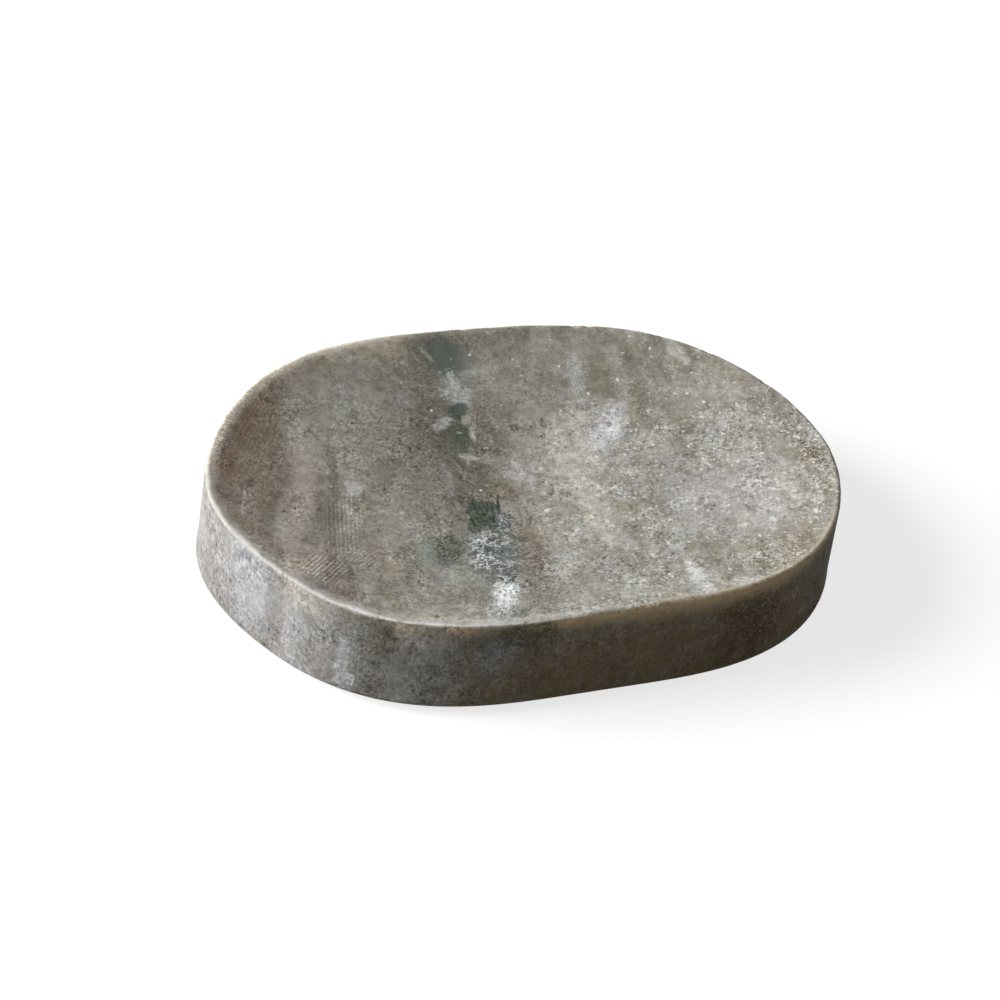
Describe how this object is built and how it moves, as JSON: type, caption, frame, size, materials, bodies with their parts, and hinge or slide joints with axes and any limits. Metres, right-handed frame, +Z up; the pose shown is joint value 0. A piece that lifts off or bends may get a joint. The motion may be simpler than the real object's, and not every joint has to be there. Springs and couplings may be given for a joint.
{
  "type": "soap dish",
  "caption": "Pebble-shaped stone soap dish with a shallow scoop that runs out to the rim, standing on anti-slip pads.",
  "frame": {"origin": "centre of the stone's plan outline, on the surface that the pads stand on", "axes": "+Z up, +X along the length towards the right end, +Y across the width towards the back"},
  "size_m": [0.135, 0.0954, 0.0232],
  "materials": {
    "marble": "honed marble, taupe with a green and white vein, soft satin",
    "pad_rubber": "clear soft rubber, slightly milky"
  },
  "bodies": {
    "root": {"stone_dish": "marble", "bumper_pad_front_left": "pad_rubber", "bumper_pad_front_right": "pad_rubber", "bumper_pad_back_left": "pad_rubber", "bumper_pad_back_right": "pad_rubber"}
  },
  "joints": []
}
